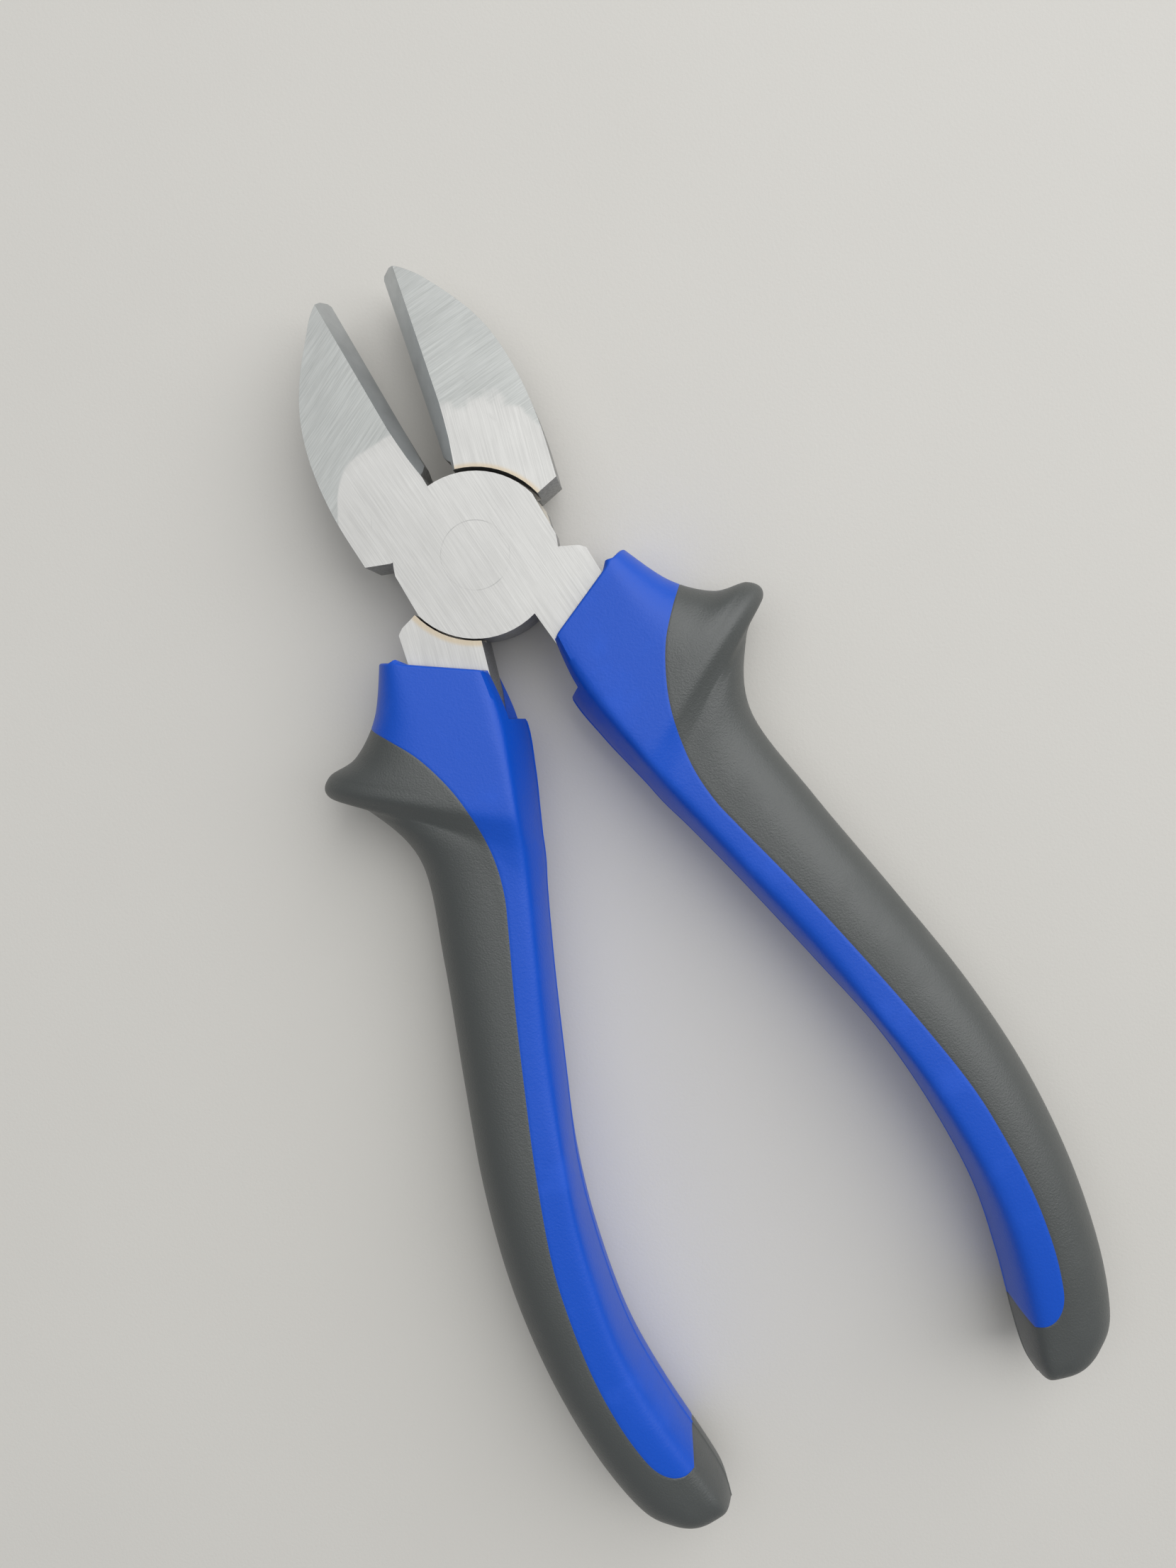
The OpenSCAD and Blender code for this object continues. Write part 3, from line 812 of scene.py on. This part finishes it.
def build_grip(side, node, handle, settings):
    """The grey grip: from the two-colour edge over the outer side, with the guard horn and the end cap."""
    rows = handle_rows(handle)
    outer_rows = rows_between(rows, handle.grey_start, LAST)
    inner_rows = rows_between(rows, GREY_LOW, LAST)
    width = handle.edges(outer_rows)[1]
    inner_edge = np.zeros(len(inner_rows))
    crease = handle.edges(inner_rows)[2]
    cap_edge = np.where(inner_rows < handle.tip, handle.low_edge(inner_rows), crease)
    patches = [
        strip(handle, outer_rows, handle.blue_edge(outer_rows), width, eased(40, 1.6, 1.0), handle.core, 1.0),
        strip(handle, inner_rows, inner_edge, cap_edge, near_parting(14), handle.core),
    ]
    points, quads = shell(patches)
    piece = new_piece(node + "_moulding", place(points, side), quads)
    return finish_piece(piece, side, node, grip_material(side, settings))


# ---------------------------------------------------------------- stage

def table_material(settings):
    material, g = new_material("pale_table")
    position = g.node("ShaderNodeTexCoord").outputs["Object"]
    marks = g.noise(position, 30.0, 5.0)
    base = tuple(settings.floor_color)
    color = g.mix(marks, tuple(v * 0.98 for v in base), tuple(v * 1.02 for v in base))
    fine = g.noise(position, 2500.0, 2.0)
    close_material(g, color, 0.55, fine, 0.02)
    return material


def soft_light(name, place_m, aim, size, power):
    data = bpy.data.lights.new(name, "AREA")
    data.shape, data.size, data.energy = "DISK", size, power
    light = bpy.data.objects.new(name, data)
    light.location = place_m
    light.rotation_euler = (Vector(aim) - Vector(place_m)).to_track_quat("-Z", "Y").to_euler()
    bpy.context.scene.collection.objects.link(light)


TABLE_REACH = 3.0                       # metres from the middle of the table to its edges
AIR_LIGHT = 0.28                        # strength of the even light from all round
CAMERA_SPOT = (23.3, -19.0, 168.0)      # mm from the middle of the head, before the roll
CAMERA_TILT = (-3.27, 3.3)              # degrees about the camera's x and y
CAMERA_ROLL = -24.58                    # degrees about the tool's Z


def build_stage(settings):
    """A pale table under the tool, two broad soft lights, and the camera above it, tilted a little."""
    mesh = bpy.data.meshes.new("table")
    corners = [(x * TABLE_REACH, y * TABLE_REACH, FLOOR_Z) for x, y in ((-1, -1), (1, -1), (1, 1), (-1, 1))]
    mesh.from_pydata(corners, [], [(0, 1, 2, 3)])
    table = bpy.data.objects.new("table", mesh)
    table.data.materials.append(table_material(settings))
    bpy.context.scene.collection.objects.link(table)

    world = bpy.data.worlds.new("studio")
    bpy.context.scene.world = world
    world.use_nodes = True
    world.node_tree.nodes["Background"].inputs["Color"].default_value = (0.93, 0.96, 1.0, 1)
    world.node_tree.nodes["Background"].inputs["Strength"].default_value = AIR_LIGHT
    soft_light("key", (0.96, 0.25, 0.98), (0, -0.03, 0), 2.0, settings.key_power)
    soft_light("ceiling", (0.0, 0.30, 1.20), (0, 0, 0), 1.4, settings.ceiling_power)
    bpy.context.scene.view_settings.view_transform = "Standard"

    data = bpy.data.cameras.new("camera")
    camera = bpy.data.objects.new("camera", data)
    bpy.context.scene.collection.objects.link(camera)
    bpy.context.scene.camera = camera
    data.sensor_fit, data.sensor_width, data.lens = "HORIZONTAL", 36.0, settings.lens
    data.clip_start, data.clip_end = 0.01, 20
    roll = Matrix.Rotation(math.radians(CAMERA_ROLL), 4, "Z")
    tilt_x, tilt_y = (Matrix.Rotation(math.radians(angle), 4, axis) for angle, axis in zip(CAMERA_TILT, "XY"))
    tilt = tilt_x @ tilt_y
    spot = Vector(CAMERA_SPOT) * MM
    camera.matrix_world = (Matrix.Translation((0, 0, MID_Z * MM)) @ roll @ Matrix.Translation(spot) @ tilt)


# ---------------------------------------------------------------- operators and panel

class PieceOperator:
    """Shared by the operators: an exception stops the build, so a finished call is always FINISHED."""
    bl_options = {"REGISTER", "UNDO"}

    def execute(self, context):
        self.build(context.scene)
        return {"FINISHED"}


def make_handle(scene):
    sleeve, grip = scene.cutter_sleeve, scene.cutter_grip
    return Handle(sleeve.mouth_round / MM, grip.seam_depth / MM, grip.skin / MM)


class CUTTER_OT_halves(PieceOperator, bpy.types.Operator):
    """Build the front and rear forgings with ground faces and rounded edges"""
    bl_idname = "cutter.halves"
    bl_label = "Steel Halves"

    def build(self, scene):
        build_half(FRONT, "front_half", scene.cutter_steel)
        build_half(REAR, "rear_half", scene.cutter_steel)


class CUTTER_OT_rivet(PieceOperator, bpy.types.Operator):
    """Finish the pivot rivet, ground flush with the head"""
    bl_idname = "cutter.rivet"
    bl_label = "Pivot Rivet"

    def build(self, scene):
        rivet = frame["nodes"]["pivot_rivet"]
        rivet.data.materials.clear()
        rivet.data.materials.append(bpy.data.materials["ground_steel_front"])


class CUTTER_OT_sleeves(PieceOperator, bpy.types.Operator):
    """Build the two blue sleeves"""
    bl_idname = "cutter.sleeves"
    bl_label = "Sleeves"

    def build(self, scene):
        handle = make_handle(scene)
        build_sleeve(FRONT, "right_sleeve", handle, scene.cutter_sleeve)
        build_sleeve(REAR, "left_sleeve", handle, scene.cutter_sleeve)


class CUTTER_OT_grips(PieceOperator, bpy.types.Operator):
    """Build the two grey grips with their guard horns and end caps"""
    bl_idname = "cutter.grips"
    bl_label = "Grips"

    def build(self, scene):
        handle = make_handle(scene)
        build_grip(FRONT, "right_grip", handle, scene.cutter_grip)
        build_grip(REAR, "left_grip", handle, scene.cutter_grip)


class CUTTER_OT_stage(PieceOperator, bpy.types.Operator):
    """Build the pale table, the studio light and the camera"""
    bl_idname = "cutter.stage"
    bl_label = "Stage"

    def build(self, scene):
        build_stage(scene.cutter_stage)


OPERATORS = (CUTTER_OT_stage, CUTTER_OT_halves, CUTTER_OT_rivet, CUTTER_OT_sleeves, CUTTER_OT_grips)
SETTINGS = {"cutter_steel": SteelSettings, "cutter_sleeve": SleeveSettings, "cutter_grip": GripSettings,
            "cutter_stage": StageSettings}


class CUTTER_PT_panel(bpy.types.Panel):
    """Lists the build steps with their settings"""
    bl_idname = "CUTTER_PT_panel"
    bl_label = "Side Cutter"
    bl_space_type = "VIEW_3D"
    bl_region_type = "UI"
    bl_category = "Side Cutter"

    def draw(self, context):
        for operator in OPERATORS:
            self.layout.operator(operator.bl_idname)
        for name, group in SETTINGS.items():
            box = self.layout.box()
            for prop in group.__annotations__:
                box.prop(getattr(context.scene, name), prop)


def register():
    for name, group in SETTINGS.items():
        bpy.utils.register_class(group)
        setattr(bpy.types.Scene, name, bpy.props.PointerProperty(type=group))
    for cls in (*OPERATORS, CUTTER_PT_panel):
        bpy.utils.register_class(cls)


def unregister():
    for cls in (CUTTER_PT_panel, *reversed(OPERATORS)):
        bpy.utils.unregister_class(cls)
    for name, group in SETTINGS.items():
        delattr(bpy.types.Scene, name)
        bpy.utils.unregister_class(group)


def main():
    """Registers the add-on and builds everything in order."""
    register()
    for operator in OPERATORS:
        group, name = operator.bl_idname.split(".")
        getattr(getattr(bpy.ops, group), name)()


if __name__ == "__main__":
    main()
